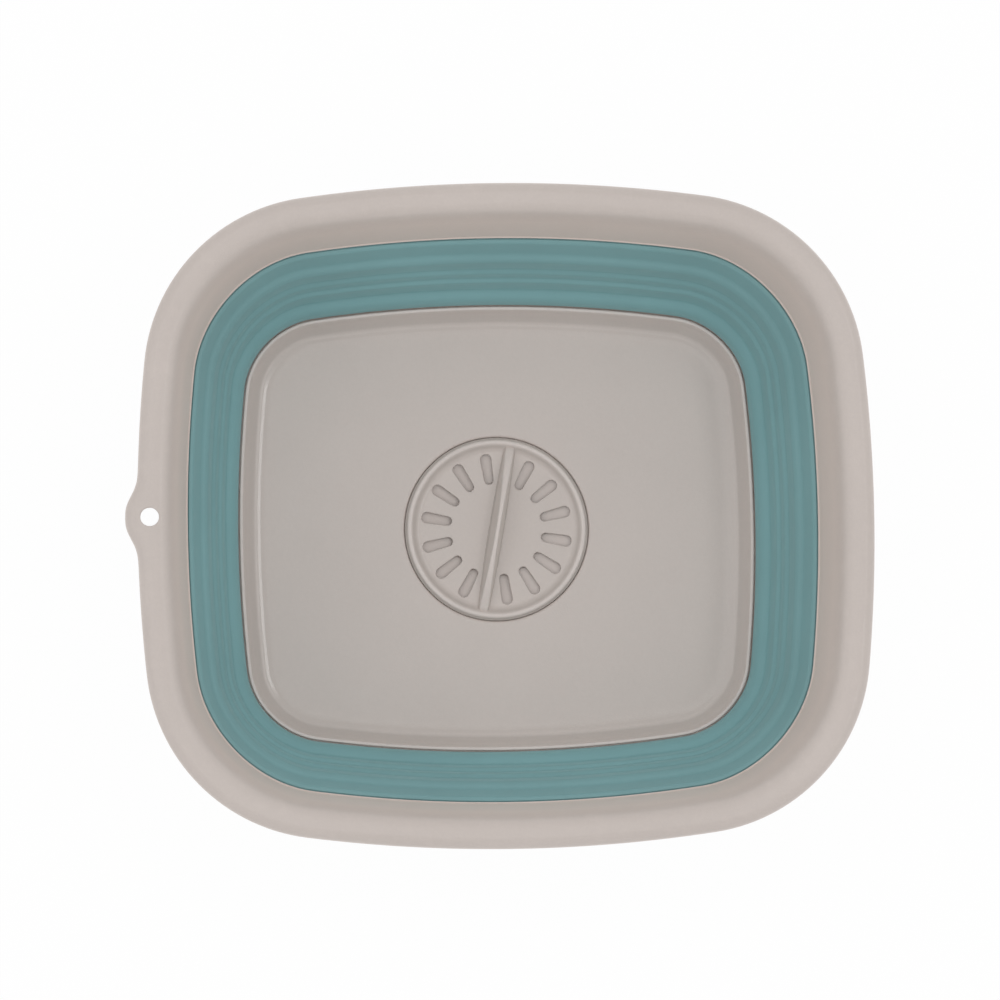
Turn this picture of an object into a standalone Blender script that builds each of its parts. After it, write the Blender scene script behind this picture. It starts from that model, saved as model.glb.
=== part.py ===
"""A folding camp washbasin with a removable strainer plug.

A hard rim and a hard base pan are joined by a soft wall of five bands. The two fold bands turn
inside out, so the pan and the middle band rise into the rim and the basin packs flat.
Lengths are in metres, +Z is up, and the origin lies on the table under the middle of the whole
basin with its hanging tab. Pieces are drawn about the drain's axis, which the empty basin_frame
then sets off by half of what the tab adds to the length.
"""

import math

import bmesh
import bpy
import numpy as np
from mathutils import Matrix

# Plan of the rim's outer edge: four bowed sides joined by four corner arcs
RIM_HALF_LENGTH = 0.1875
RIM_HALF_WIDTH = 0.1697
LONG_SIDE_BOW_RADIUS = 0.754
SHORT_SIDE_BOW_RADIUS = 0.774
CORNER_RADIUS = 0.0932

# Rim: a broad rolled flange whose inner side drops to the soft wall
RIM_WIDTH = 0.025
RIM_DEPTH = 0.038
RIM_WALL = 0.0025
CREST_INSET = 0.008
LIP_ROLL_DROP = 0.0065
LIP_HEIGHT = 0.013
# Handles of the curve from the crest to the throat, as shares of its run and of the rim's depth
CREST_HANDLE_SHARE = 0.44
SLOPE_HANDLE_RUN_SHARE = 0.56
SLOPE_HANDLE_DROP_SHARE = 0.37

# Hanging tab on the left end of the rim
TAB_REACH = 0.0068
TAB_SPREAD = 0.0117
TAB_ROOT = 0.013
TAB_HALF_LENGTH = 0.027
HANGING_HOLE_RADIUS = 0.0049
HANGING_HOLE_INSET = 0.0055

# Soft wall: height of each band, and how far it steps in towards the middle
UPPER_BAND_HEIGHT = 0.013
UPPER_BAND_REACH = 0.0095
UPPER_FOLD_HEIGHT = 0.016
UPPER_FOLD_REACH = 0.004
MIDDLE_BAND_HEIGHT = 0.008
MIDDLE_BAND_REACH = 0.0031
LOWER_FOLD_HEIGHT = 0.018
LOWER_FOLD_REACH = 0.0065
LOWER_BAND_HEIGHT = 0.008
LOWER_BAND_REACH = 0.002
SOFT_WALL = 0.002

# Base pan: a sloped side, a raised floor and a foot ring
PAN_HEIGHT = 0.022
PAN_FLOOR_HEIGHT = 0.0115
PAN_WALL = 0.0022
PAN_LIP_DROP = 0.0018
PAN_LIP_LEAN = 0.0006
PAN_SLOPE_RUN = 0.0088
PAN_FILLET_RUN = 0.0018
PAN_FILLET_DROP = 0.0011
FOOT_THICKNESS = 0.0024

# Strainer plug: a dished disc with a raised bead, slots, a grip bar and a stem
DISC_RADIUS = 0.0484
BEAD_WIDTH = 0.004
BEAD_RISE = 0.0017
DISH_DEPTH = 0.0009
DISH_SLOPE_RUN = 0.0034
DISC_THICKNESS = 0.0016
SLOTS_PER_SIDE = 7
SLOT_LENGTH = 0.0163
SLOT_INNER_WIDTH = 0.0047
SLOT_OUTER_WIDTH = 0.0058
SLOT_MARGIN = 0.0005
SLOT_PITCH_DEG = 24.0
GRIP_RISE = 0.011
GRIP_END_RISE = 0.0018
GRIP_THICKNESS = 0.0062
GRIP_CREST_THICKNESS = 0.0024
GRIP_TURN_DEG = 9.2
STEM_RADIUS = 0.0085
STEM_FLANGE_REACH = 0.0025
STEM_FLANGE_THICKNESS = 0.0012

# Drain in the pan's floor: a recess for the disc, a shallow sump and an outlet
DISC_CLEARANCE = 0.0006
LEDGE_WIDTH = 0.0042
SUMP_DEPTH = 0.0011
OUTLET_RADIUS = 0.014
OUTLET_LENGTH = 0.0041

# Seal ring on the plug's stem
SEAL_HEIGHT = 0.003
SEAL_LIP_REACH = 0.0011
SEAL_WAIST_SHARE = 0.6

# Gap between neighbouring solids, how far a cutter runs past what it cuts, and what counts as one point
GAP = 0.0003
OVERRUN = 0.003
SLOT_OVERRUN = 0.0007
SAME_POINT = 0.00001
SHARP_EDGE_DEG = 35.0

# Facets
SIDE_STEPS = 6
CORNER_STEPS = 8
TAB_SIDE_STEPS = 16
TAB_STEP_CROWDING = 1.7
COVE_STEPS = 4
ROLL_STEPS = 4
SLOPE_STEPS = 6
TURNED_STEPS = 64
SEAL_STEPS = 48
HOLE_STEPS = 48
SLOT_STEPS = 12
BEAD_STEPS = 6
GRIP_STEPS = 12

# Levels above the table, from the pan up to the rim's crest
LOWER_FOLD_FOOT = PAN_HEIGHT + LOWER_BAND_HEIGHT
MIDDLE_BAND_FOOT = LOWER_FOLD_FOOT + LOWER_FOLD_HEIGHT
UPPER_FOLD_FOOT = MIDDLE_BAND_FOOT + MIDDLE_BAND_HEIGHT
UPPER_BAND_FOOT = UPPER_FOLD_FOOT + UPPER_FOLD_HEIGHT
THROAT_HEIGHT = UPPER_BAND_FOOT + UPPER_BAND_HEIGHT
CREST_HEIGHT = THROAT_HEIGHT + RIM_DEPTH

# Distances in from the rim's outer edge to the top of each band
UPPER_FOLD_INSET = RIM_WIDTH + UPPER_BAND_REACH
MIDDLE_BAND_INSET = UPPER_FOLD_INSET + UPPER_FOLD_REACH
LOWER_FOLD_INSET = MIDDLE_BAND_INSET + MIDDLE_BAND_REACH
LOWER_BAND_INSET = LOWER_FOLD_INSET + LOWER_FOLD_REACH
PAN_EDGE_INSET = LOWER_BAND_INSET + LOWER_BAND_REACH

# Radii of the plug's dished floor and of its slots' ends
BEAD_INNER_RADIUS = DISC_RADIUS - BEAD_WIDTH
DISH_RADIUS = BEAD_INNER_RADIUS - DISH_SLOPE_RUN
SLOT_OUTER_RADIUS = DISH_RADIUS - SLOT_MARGIN
SLOT_INNER_RADIUS = SLOT_OUTER_RADIUS - SLOT_LENGTH

# Levels of the drain and of the plug that sits in it
DISH_TOP = PAN_FLOOR_HEIGHT - DISH_DEPTH
DISC_UNDERSIDE = DISH_TOP - DISC_THICKNESS
LEDGE_HEIGHT = DISC_UNDERSIDE - GAP
SUMP_FLOOR = LEDGE_HEIGHT - SUMP_DEPTH
OUTLET_TOP = SUMP_FLOOR - PAN_WALL
OUTLET_BOTTOM = OUTLET_TOP - OUTLET_LENGTH
SEAL_TOP = SUMP_FLOOR - GAP
SEAL_BOTTOM = SEAL_TOP - SEAL_HEIGHT
STEM_FLANGE_TOP = SEAL_BOTTOM - GAP
STEM_BOTTOM = STEM_FLANGE_TOP - STEM_FLANGE_THICKNESS


def corner_arc_centre():
    """Centre of the corner arc that touches both bowed sides from inside, found as the point where
    two circles about the sides' centres meet."""
    long_centre_y = RIM_HALF_WIDTH - LONG_SIDE_BOW_RADIUS
    short_centre_x = RIM_HALF_LENGTH - SHORT_SIDE_BOW_RADIUS
    long_reach = LONG_SIDE_BOW_RADIUS - CORNER_RADIUS
    short_reach = SHORT_SIDE_BOW_RADIUS - CORNER_RADIUS
    across = math.hypot(short_centre_x, long_centre_y)
    along = (long_reach**2 - short_reach**2 + across**2) / (2 * across)
    aside = math.sqrt(long_reach**2 - along**2)
    unit_x = short_centre_x / across
    unit_y = -long_centre_y / across
    return (
        along * unit_x + aside * unit_y,
        long_centre_y + along * unit_y - aside * unit_x,
    )


def outline_arcs(left_shares):
    """Centres, radii and directions of points round the rim's edge, anticlockwise from the right
    end. left_shares places the points on the left end, from -1 to 1."""
    corner_x, corner_y = corner_arc_centre()
    long_centre_y = RIM_HALF_WIDTH - LONG_SIDE_BOW_RADIUS
    short_centre_x = RIM_HALF_LENGTH - SHORT_SIDE_BOW_RADIUS
    long_half = math.atan2(corner_x, corner_y - long_centre_y)
    short_half = math.atan2(corner_y, corner_x - short_centre_x)
    even_shares = np.linspace(-1, 1, SIDE_STEPS + 1)
    corner_half = (math.pi / 2 - long_half - short_half) / 2
    corner_middle = short_half + corner_half
    corner_shares = np.linspace(-1, 1, CORNER_STEPS + 1)
    arcs = (
        ((short_centre_x, 0), SHORT_SIDE_BOW_RADIUS, 0, short_half, even_shares),
        ((corner_x, corner_y), CORNER_RADIUS, corner_middle, corner_half, corner_shares),
        ((0, long_centre_y), LONG_SIDE_BOW_RADIUS, math.pi / 2, long_half, even_shares),
        ((-corner_x, corner_y), CORNER_RADIUS, math.pi - corner_middle, corner_half, corner_shares),
        ((-short_centre_x, 0), SHORT_SIDE_BOW_RADIUS, math.pi, short_half, left_shares),
        ((-corner_x, -corner_y), CORNER_RADIUS, math.pi + corner_middle, corner_half, corner_shares),
        ((0, -long_centre_y), LONG_SIDE_BOW_RADIUS, -math.pi / 2, long_half, even_shares),
        ((corner_x, -corner_y), CORNER_RADIUS, -corner_middle, corner_half, corner_shares),
    )
    centres, radii, angles = [], [], []
    for centre, radius, middle, half, shares in arcs:
        for share in shares[:-1]:
            centres.append(centre)
            radii.append(radius)
            angles.append(middle + half * share)
    angles = np.array(angles)
    directions = np.stack([np.cos(angles), np.sin(angles)], axis=1)
    return np.array(centres), np.array(radii), directions


EVEN_OUTLINE = outline_arcs(np.linspace(-1, 1, SIDE_STEPS + 1))
even_tab_shares = np.linspace(-1, 1, TAB_SIDE_STEPS + 1)
crowded_tab_shares = np.sign(even_tab_shares) * np.abs(even_tab_shares) ** TAB_STEP_CROWDING
TAB_OUTLINE = outline_arcs(crowded_tab_shares)


def loop(arcs, inset, height, with_tab=False):
    """Points of the outline moved in by inset, at a height. With the tab, the left end bulges by a
    bell curve that fades out over the tab's root."""
    centres, radii, directions = arcs
    flat = centres + (radii - inset)[:, None] * directions
    if with_tab:
        depth = np.clip(inset / TAB_ROOT, 0, 1)
        fade = 1 - depth * depth * (3 - 2 * depth)
        bell = np.exp(-(flat[:, 1] ** 2) / (2 * TAB_SPREAD**2))
        flat[:, 0] -= np.where(flat[:, 0] < 0, TAB_REACH * fade * bell, 0)
    return np.column_stack([flat, np.full(len(flat), height)])


def collection(name):
    made = bpy.data.collections.new(name)
    bpy.context.scene.collection.children.link(made)
    return made


def link(obj, target):
    for holder in list(obj.users_collection):
        holder.objects.unlink(obj)
    target.objects.link(obj)
    return obj


def finish(mesh):
    mesh.validate()
    mesh.shade_smooth()
    mesh.set_sharp_from_angle(angle=math.radians(SHARP_EDGE_DEG))


def ring_sheet(name, loops, thickness, target, floor=False):
    """A sheet lofted through closed loops and given its wall on the side away from the air. With
    floor, the last loop is filled."""
    shape = bmesh.new()
    rows = [[shape.verts.new(point) for point in points] for points in loops]
    count = len(rows[0])
    for upper, lower in zip(rows, rows[1:]):
        for k in range(count):
            after = (k + 1) % count
            shape.faces.new((upper[k], upper[after], lower[after], lower[k]))
    if floor:
        shape.faces.new(rows[-1])
    mesh = bpy.data.meshes.new(name)
    shape.to_mesh(mesh)
    shape.free()
    finish(mesh)
    obj = link(bpy.data.objects.new(name, mesh), target)
    wall = obj.modifiers.new("wall", "SOLIDIFY")
    wall.thickness = thickness
    wall.offset = -1
    wall.use_even_offset = True
    return obj


def turned(name, profile, steps, target, closed=False):
    """A solid turned about Z from a profile of (radius, height), listed down its outer side."""
    mesh = bpy.data.meshes.new(name)
    points = [(radius, 0, height) for radius, height in profile]
    edges = [(k, k + 1) for k in range(len(points) - 1)]
    if closed:
        edges.append((len(points) - 1, 0))
    mesh.from_pydata(points, edges, [])
    obj = link(bpy.data.objects.new(name, mesh), target)
    screw = obj.modifiers.new("turn", "SCREW")
    screw.steps = steps
    screw.render_steps = steps
    screw.use_merge_vertices = True
    screw.merge_threshold = SAME_POINT
    screw.use_smooth_shade = True
    return obj


def block(name, low, high, target):
    """A box between two corners."""
    shape = bmesh.new()
    bmesh.ops.create_cube(shape, size=1)
    sides = [b - a for a, b in zip(low, high)]
    middle = [(a + b) / 2 for a, b in zip(low, high)]
    bmesh.ops.scale(shape, vec=sides, verts=shape.verts)
    bmesh.ops.translate(shape, vec=middle, verts=shape.verts)
    mesh = bpy.data.meshes.new(name)
    shape.to_mesh(mesh)
    shape.free()
    return link(bpy.data.objects.new(name, mesh), target)


def helper(obj):
    obj.hide_render = True
    obj.display_type = "WIRE"
    return obj


def combine(obj, other, operation):
    step = obj.modifiers.new(other.name, "BOOLEAN")
    step.operation = operation
    step.object = other
    step.solver = "EXACT"


def frame_empty(name, parent, height, turn_deg=0.0):
    """An empty on a joint's axis, which carries the pieces that move there."""
    empty = link(bpy.data.objects.new(name, None), BASIN)
    empty.parent = parent
    empty.location = (0, 0, height)
    empty.rotation_euler = (0, 0, math.radians(turn_deg))
    return empty


def carry(empty, *pieces):
    """Parents pieces that are drawn about the drain's axis to an empty on that axis."""
    for piece in pieces:
        piece.parent = empty
        piece.matrix_parent_inverse = Matrix.Translation((0, 0, -empty.location.z))


def paint(name, colour, roughness, pieces):
    made = bpy.data.materials.new(name)
    made.use_nodes = True
    shader = made.node_tree.nodes["Principled BSDF"]
    shader.inputs["Base Color"].default_value = (*colour, 1)
    shader.inputs["Roughness"].default_value = roughness
    shader.inputs["Metallic"].default_value = 0
    for piece in pieces:
        piece.data.materials.clear()
        piece.data.materials.append(made)


def rim_section():
    """(inset, height) from the outer lip's lower edge, over the crest and down to the throat: a
    straight lip, a quarter ellipse to the crest and a Bezier slope."""
    points = [(0, CREST_HEIGHT - LIP_HEIGHT)]
    for angle in np.linspace(0, math.pi / 2, ROLL_STEPS + 1):
        rise = LIP_ROLL_DROP * (math.sin(angle) - 1)
        points.append((CREST_INSET * (1 - math.cos(angle)), CREST_HEIGHT + rise))
    run = RIM_WIDTH - CREST_INSET
    handle_inset = CREST_INSET + SLOPE_HANDLE_RUN_SHARE * run
    handle_height = CREST_HEIGHT - SLOPE_HANDLE_DROP_SHARE * RIM_DEPTH
    knots = np.array(
        [
            (CREST_INSET, CREST_HEIGHT),
            (CREST_INSET + CREST_HANDLE_SHARE * run, CREST_HEIGHT),
            (handle_inset, handle_height),
            (RIM_WIDTH, THROAT_HEIGHT),
        ]
    )
    for t in np.linspace(0, 1, SLOPE_STEPS + 1)[1:]:
        weights = np.array([(1 - t) ** 3, 3 * t * (1 - t) ** 2, 3 * t * t * (1 - t), t**3])
        points.append(tuple(weights @ knots))
    return points


def make_rim():
    """The rim and its hanging tab. They are one moulding, kept as two solids that meet along a
    fine joint, so that the hanging hole stays open in the smaller one."""
    loops = [loop(TAB_OUTLINE, inset, height, with_tab=True) for inset, height in rim_section()]
    rim = ring_sheet("rim", loops, RIM_WALL, BASIN)
    tab = ring_sheet("hanging_tab", loops, RIM_WALL, BASIN)
    outer = -(RIM_HALF_LENGTH + TAB_REACH + OVERRUN)
    root = TAB_ROOT - RIM_HALF_LENGTH
    bottom = CREST_HEIGHT - LIP_HEIGHT - OVERRUN
    top = CREST_HEIGHT + OVERRUN
    notch = block(
        "tab_notch",
        (outer, -TAB_HALF_LENGTH - GAP, bottom),
        (root + GAP, TAB_HALF_LENGTH + GAP, top),
        HELPERS,
    )
    keep = block(
        "tab_space", (outer, -TAB_HALF_LENGTH, bottom), (root, TAB_HALF_LENGTH, top), HELPERS
    )
    shape = bmesh.new()
    bmesh.ops.create_cone(
        shape,
        cap_ends=True,
        segments=HOLE_STEPS,
        radius1=HANGING_HOLE_RADIUS,
        radius2=HANGING_HOLE_RADIUS,
        depth=top - bottom,
    )
    hole_x = HANGING_HOLE_INSET - RIM_HALF_LENGTH
    bmesh.ops.translate(shape, vec=(hole_x, 0, (top + bottom) / 2), verts=shape.verts)
    mesh = bpy.data.meshes.new("hanging_hole")
    shape.to_mesh(mesh)
    shape.free()
    hole = link(bpy.data.objects.new("hanging_hole", mesh), HELPERS)
    cutters = [helper(cutter) for cutter in (notch, keep, hole)]
    combine(rim, notch, "DIFFERENCE")
    combine(tab, keep, "INTERSECT")
    combine(tab, hole, "DIFFERENCE")
    return rim, tab, cutters


def cove(inset, reach, top, height, under_ledge):
    """(inset, height) down the inner face of a band: a quarter ellipse that starts upright and
    ends as a level ledge. A band that hangs under a ledge starts below that ledge's thickness."""
    start = math.asin((SOFT_WALL + GAP) / height) if under_ledge else 0
    top_gap = 0 if under_ledge else GAP
    points = []
    for angle in np.linspace(start, math.pi / 2, COVE_STEPS + 1):
        points.append((inset + reach * (1 - math.cos(angle)), top - height * math.sin(angle)))
    points[0] = (points[0][0], points[0][1] - top_gap)
    return points


def make_wall():
    """The soft wall, as its two fold bands and the three bands that stay upright."""
    upper = cove(RIM_WIDTH, UPPER_BAND_REACH, THROAT_HEIGHT, UPPER_BAND_HEIGHT, False)
    upper_fold = cove(
        UPPER_FOLD_INSET, UPPER_FOLD_REACH, UPPER_BAND_FOOT, UPPER_FOLD_HEIGHT, True
    )
    middle = cove(
        MIDDLE_BAND_INSET, MIDDLE_BAND_REACH, UPPER_FOLD_FOOT, MIDDLE_BAND_HEIGHT, True
    )
    lower_fold = cove(
        LOWER_FOLD_INSET, LOWER_FOLD_REACH, MIDDLE_BAND_FOOT, LOWER_FOLD_HEIGHT, True
    )
    lower = [
        (LOWER_BAND_INSET, LOWER_FOLD_FOOT - SOFT_WALL - GAP),
        (PAN_EDGE_INSET, PAN_HEIGHT + GAP),
    ]
    bands = []
    for name, section in (
        ("upper_wall_band", upper),
        ("upper_fold_band", upper_fold),
        ("middle_wall_band", middle),
        ("lower_fold_band", lower_fold),
        ("lower_wall_band", lower),
    ):
        loops = [loop(EVEN_OUTLINE, inset, height) for inset, height in section]
        bands.append(ring_sheet(name, loops, SOFT_WALL, BASIN))
    return bands


def make_pan():
    """The base pan: a sheet from its edge down a slope to the floor, on a foot ring, with the
    drain's cup fused under it and the drain's hollow cut out."""
    edge = PAN_EDGE_INSET
    slope_foot = edge + PAN_LIP_LEAN + PAN_SLOPE_RUN
    floor_inset = slope_foot + PAN_FILLET_RUN
    section = (
        (edge, PAN_HEIGHT),
        (edge + PAN_LIP_LEAN, PAN_HEIGHT - PAN_LIP_DROP),
        (slope_foot, PAN_FLOOR_HEIGHT + PAN_FILLET_DROP),
        (floor_inset, PAN_FLOOR_HEIGHT),
    )
    loops = [loop(EVEN_OUTLINE, inset, height) for inset, height in section]
    pan = ring_sheet("base_pan", loops, PAN_WALL, BASIN, floor=True)
    foot_top = PAN_FLOOR_HEIGHT - PAN_WALL / 2
    foot_loops = [loop(EVEN_OUTLINE, floor_inset + FOOT_THICKNESS, height) for height in (foot_top, 0)]
    foot = helper(ring_sheet("foot_ring", foot_loops, FOOT_THICKNESS, HELPERS))
    recess = DISC_RADIUS + DISC_CLEARANCE
    sump = recess - LEDGE_WIDTH
    cup = helper(
        turned(
            "drain_cup",
            (
                (0, PAN_FLOOR_HEIGHT - PAN_WALL / 2),
                (recess + PAN_WALL, PAN_FLOOR_HEIGHT - PAN_WALL / 2),
                (recess + PAN_WALL, LEDGE_HEIGHT - PAN_WALL),
                (sump + PAN_WALL, LEDGE_HEIGHT - PAN_WALL),
                (sump + PAN_WALL, OUTLET_TOP),
                (OUTLET_RADIUS + PAN_WALL, OUTLET_TOP),
                (OUTLET_RADIUS + PAN_WALL, OUTLET_BOTTOM),
                (0, OUTLET_BOTTOM),
            ),
            TURNED_STEPS,
            HELPERS,
        )
    )
    hollow = helper(
        turned(
            "drain_hollow",
            (
                (0, PAN_FLOOR_HEIGHT + OVERRUN),
                (recess, PAN_FLOOR_HEIGHT + OVERRUN),
                (recess, LEDGE_HEIGHT),
                (sump, LEDGE_HEIGHT),
                (sump, SUMP_FLOOR),
                (OUTLET_RADIUS, SUMP_FLOOR),
                (OUTLET_RADIUS, OUTLET_BOTTOM - OVERRUN),
                (0, OUTLET_BOTTOM - OVERRUN),
            ),
            TURNED_STEPS,
            HELPERS,
        )
    )
    combine(pan, foot, "UNION")
    combine(pan, cup, "UNION")
    combine(pan, hollow, "DIFFERENCE")
    return pan, [foot, cup, hollow]


def grip_bar():
    """The half-moon grip bar: its side view is a flat outline with an arched top, given a
    thickness and then thinned towards the crest."""
    half_length = BEAD_INNER_RADIUS
    base = DISH_TOP - DISC_THICKNESS / 2
    end = DISH_TOP + GRIP_END_RISE
    crest = DISH_TOP + GRIP_RISE
    shares = np.linspace(1, -1, GRIP_STEPS + 1)
    arch = [(share * half_length, end + (crest - end) * (1 - share * share)) for share in shares]
    points = [(-half_length, base), (half_length, base)] + arch
    curve = bpy.data.curves.new("grip_outline", "CURVE")
    curve.dimensions = "2D"
    curve.fill_mode = "BOTH"
    curve.extrude = GRIP_THICKNESS / 2
    spline = curve.splines.new("POLY")
    spline.points.add(len(points) - 1)
    for knot, (along, up) in zip(spline.points, points):
        knot.co = (along, up, 0, 1)
    spline.use_cyclic_u = True
    outline = bpy.data.objects.new("grip_outline", curve)
    outline.matrix_world = Matrix.Rotation(math.pi / 2, 4, "Z") @ Matrix.Rotation(math.pi / 2, 4, "X")
    HELPERS.objects.link(outline)
    bpy.context.view_layer.update()
    evaluated = outline.evaluated_get(bpy.context.evaluated_depsgraph_get())
    mesh = bpy.data.meshes.new_from_object(evaluated)
    mesh.transform(outline.matrix_world)
    mesh.name = "grip_bar"
    shape = bmesh.new()
    shape.from_mesh(mesh)
    bmesh.ops.remove_doubles(shape, verts=shape.verts, dist=SAME_POINT)
    bmesh.ops.recalc_face_normals(shape, faces=shape.faces)
    thinning = 1 - GRIP_CREST_THICKNESS / GRIP_THICKNESS
    for vert in shape.verts:
        vert.co.x *= 1 - thinning * max(vert.co.z - DISH_TOP, 0) / (crest - DISH_TOP)
    shape.to_mesh(mesh)
    shape.free()
    bpy.data.objects.remove(outline)
    return helper(link(bpy.data.objects.new("grip_bar", mesh), HELPERS))


def slot_cutter():
    """All the slots as one cutter: each is an upright cylinder drawn out into a rounded slot that
    widens outwards, and the slots are spread evenly on both sides of the grip bar."""
    shape = bmesh.new()
    inner_end = SLOT_INNER_RADIUS + SLOT_INNER_WIDTH / 2
    outer_end = SLOT_OUTER_RADIUS - SLOT_OUTER_WIDTH / 2
    low = DISC_UNDERSIDE - SLOT_OVERRUN
    high = DISH_TOP + SLOT_OVERRUN
    for side in (0, 1):
        for k in range(SLOTS_PER_SIDE):
            spread = SLOT_PITCH_DEG * (k - (SLOTS_PER_SIDE - 1) / 2)
            turn = Matrix.Rotation(math.radians(spread + 180 * side), 4, "Z")
            made = bmesh.ops.create_cone(
                shape,
                cap_ends=True,
                segments=SLOT_STEPS,
                radius1=0.5,
                radius2=0.5,
                depth=high - low,
                matrix=Matrix.Rotation(math.pi / SLOT_STEPS, 4, "Z"),
            )["verts"]
            for vert in made:
                outside = vert.co.x > 0
                width = SLOT_OUTER_WIDTH if outside else SLOT_INNER_WIDTH
                vert.co.x = (outer_end if outside else inner_end) + width * vert.co.x
                vert.co.y *= width
                vert.co.z += (low + high) / 2
                vert.co = turn @ vert.co
    mesh = bpy.data.meshes.new("strainer_slots")
    shape.to_mesh(mesh)
    shape.free()
    return helper(link(bpy.data.objects.new("strainer_slots", mesh), HELPERS))


def make_strainer():
    """The strainer plug: turned disc, bead and stem, with the grip bar fused on and the slots cut.
    The stem's lower end carries the seal above a small flange."""
    bead_top = PAN_FLOOR_HEIGHT + BEAD_RISE
    shoulder = (DISH_TOP + bead_top) / 2
    flange = STEM_RADIUS + STEM_FLANGE_REACH
    profile = [(0, DISH_TOP), (DISH_RADIUS, DISH_TOP), (BEAD_INNER_RADIUS, shoulder)]
    for angle in np.linspace(math.pi, 0, BEAD_STEPS + 1)[1:-1]:
        profile.append(
            (
                DISC_RADIUS - BEAD_WIDTH / 2 * (1 - math.cos(angle)),
                shoulder + (bead_top - shoulder) * math.sin(angle),
            )
        )
    profile += [
        (DISC_RADIUS, shoulder),
        (DISC_RADIUS, DISC_UNDERSIDE),
        (STEM_RADIUS, DISC_UNDERSIDE),
        (STEM_RADIUS, STEM_FLANGE_TOP),
        (flange, STEM_FLANGE_TOP),
        (flange, STEM_BOTTOM),
        (0, STEM_BOTTOM),
    ]
    strainer = turned("strainer_plug", profile, TURNED_STEPS, BASIN)
    bar = grip_bar()
    slots = slot_cutter()
    combine(strainer, bar, "UNION")
    combine(strainer, slots, "DIFFERENCE")
    return strainer, [bar, slots]


def make_seal():
    """The seal ring: two lips with a waist between them, round the plug's stem."""
    inner = STEM_RADIUS + GAP
    outer = OUTLET_RADIUS - GAP
    root = outer - SEAL_LIP_REACH
    waist = outer - SEAL_WAIST_SHARE * SEAL_LIP_REACH
    quarter = SEAL_HEIGHT / 4
    profile = (
        (inner, SEAL_TOP),
        (root, SEAL_TOP),
        (outer, SEAL_TOP - quarter),
        (waist, SEAL_TOP - 2 * quarter),
        (outer, SEAL_BOTTOM + quarter),
        (root, SEAL_BOTTOM),
        (inner, SEAL_BOTTOM),
    )
    return turned("plug_seal", profile, SEAL_STEPS, BASIN, closed=True)


for leftover in list(bpy.data.objects):
    bpy.data.objects.remove(leftover)
BASIN = collection("camp_washbasin")
HELPERS = collection("cutters")

rim, hanging_tab, rim_cutters = make_rim()
upper_band, upper_fold, middle_band, lower_fold, lower_band = make_wall()
base_pan, pan_cutters = make_pan()
strainer, strainer_cutters = make_strainer()
seal = make_seal()

basin_frame = frame_empty("basin_frame", None, 0)
basin_frame.location.x = TAB_REACH / 2
middle_frame = frame_empty("middle_frame", basin_frame, MIDDLE_BAND_FOOT)
rim_frame = frame_empty("rim_frame", basin_frame, UPPER_BAND_FOOT)
plug_lift = frame_empty("plug_lift", basin_frame, SUMP_FLOOR)
plug_turn = frame_empty("plug_turn", basin_frame, DISC_UNDERSIDE, -GRIP_TURN_DEG)
carry(basin_frame, base_pan, lower_band, lower_fold, *pan_cutters)
carry(middle_frame, middle_band, upper_fold)
carry(rim_frame, rim, hanging_tab, upper_band, *rim_cutters)
carry(plug_lift, seal)
carry(plug_turn, strainer, *strainer_cutters)

paint("taupe_polypropylene", (0.45, 0.40, 0.375), 0.42, (rim, hanging_tab, base_pan, strainer))
paint(
    "teal_elastomer",
    (0.17, 0.29, 0.295),
    0.55,
    (upper_band, upper_fold, middle_band, lower_fold, lower_band),
)
paint("grey_silicone", (0.32, 0.33, 0.33), 0.6, (seal,))
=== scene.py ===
import math

import bpy
import numpy as np
from mathutils import Matrix, Vector


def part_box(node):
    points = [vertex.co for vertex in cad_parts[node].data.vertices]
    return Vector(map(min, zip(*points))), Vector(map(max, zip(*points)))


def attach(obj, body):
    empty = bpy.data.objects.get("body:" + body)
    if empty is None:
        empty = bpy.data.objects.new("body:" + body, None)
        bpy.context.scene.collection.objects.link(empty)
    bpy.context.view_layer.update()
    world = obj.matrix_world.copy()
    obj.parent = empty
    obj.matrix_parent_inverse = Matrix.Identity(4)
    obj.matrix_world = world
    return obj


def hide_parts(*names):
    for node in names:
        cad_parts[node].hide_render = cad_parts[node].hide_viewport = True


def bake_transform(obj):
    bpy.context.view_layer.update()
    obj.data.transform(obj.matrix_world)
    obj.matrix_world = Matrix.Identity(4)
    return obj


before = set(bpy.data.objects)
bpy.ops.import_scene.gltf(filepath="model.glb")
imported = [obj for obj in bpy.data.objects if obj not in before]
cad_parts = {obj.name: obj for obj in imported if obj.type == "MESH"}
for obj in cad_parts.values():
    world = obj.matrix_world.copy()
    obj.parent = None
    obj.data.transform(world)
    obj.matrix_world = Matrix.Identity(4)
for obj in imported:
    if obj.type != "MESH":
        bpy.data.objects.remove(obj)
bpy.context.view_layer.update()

# Rim and hanging tab: one hard moulding of satin warm grey polypropylene. A broad flange rolls over
# to a straight lip outside, drops to a narrow ledge at the throat inside, and swells into a tab at the
# left end. Lengths are in metres, the corners of profiles in millimetres.
MM = 0.001
BASIN_X = (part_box("base_pan")[0].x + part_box("base_pan")[1].x) / 2
RIM_HALF_LENGTH = 0.1875
RIM_HALF_WIDTH = 0.1697
LONG_SIDE_BOW = 0.754
SHORT_SIDE_BOW = 0.774
CORNER_RADIUS = 0.0932
CREST_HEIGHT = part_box("rim")[1].z
THROAT_HEIGHT = CREST_HEIGHT - 0.038
CREST_INSET = 0.0058
ROLL_DROP = 0.0062
RIM_WALL = 0.0025
TAB_REACH = 0.0062
TAB_SPREAD = 0.0131
TAB_POWER = 2.7
TAB_ROOT = 0.013
TAB_CROWDING = 2.6
SIDE_STEPS = 44
CORNER_STEPS = 30
TAB_SIDE_STEPS = 96
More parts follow.
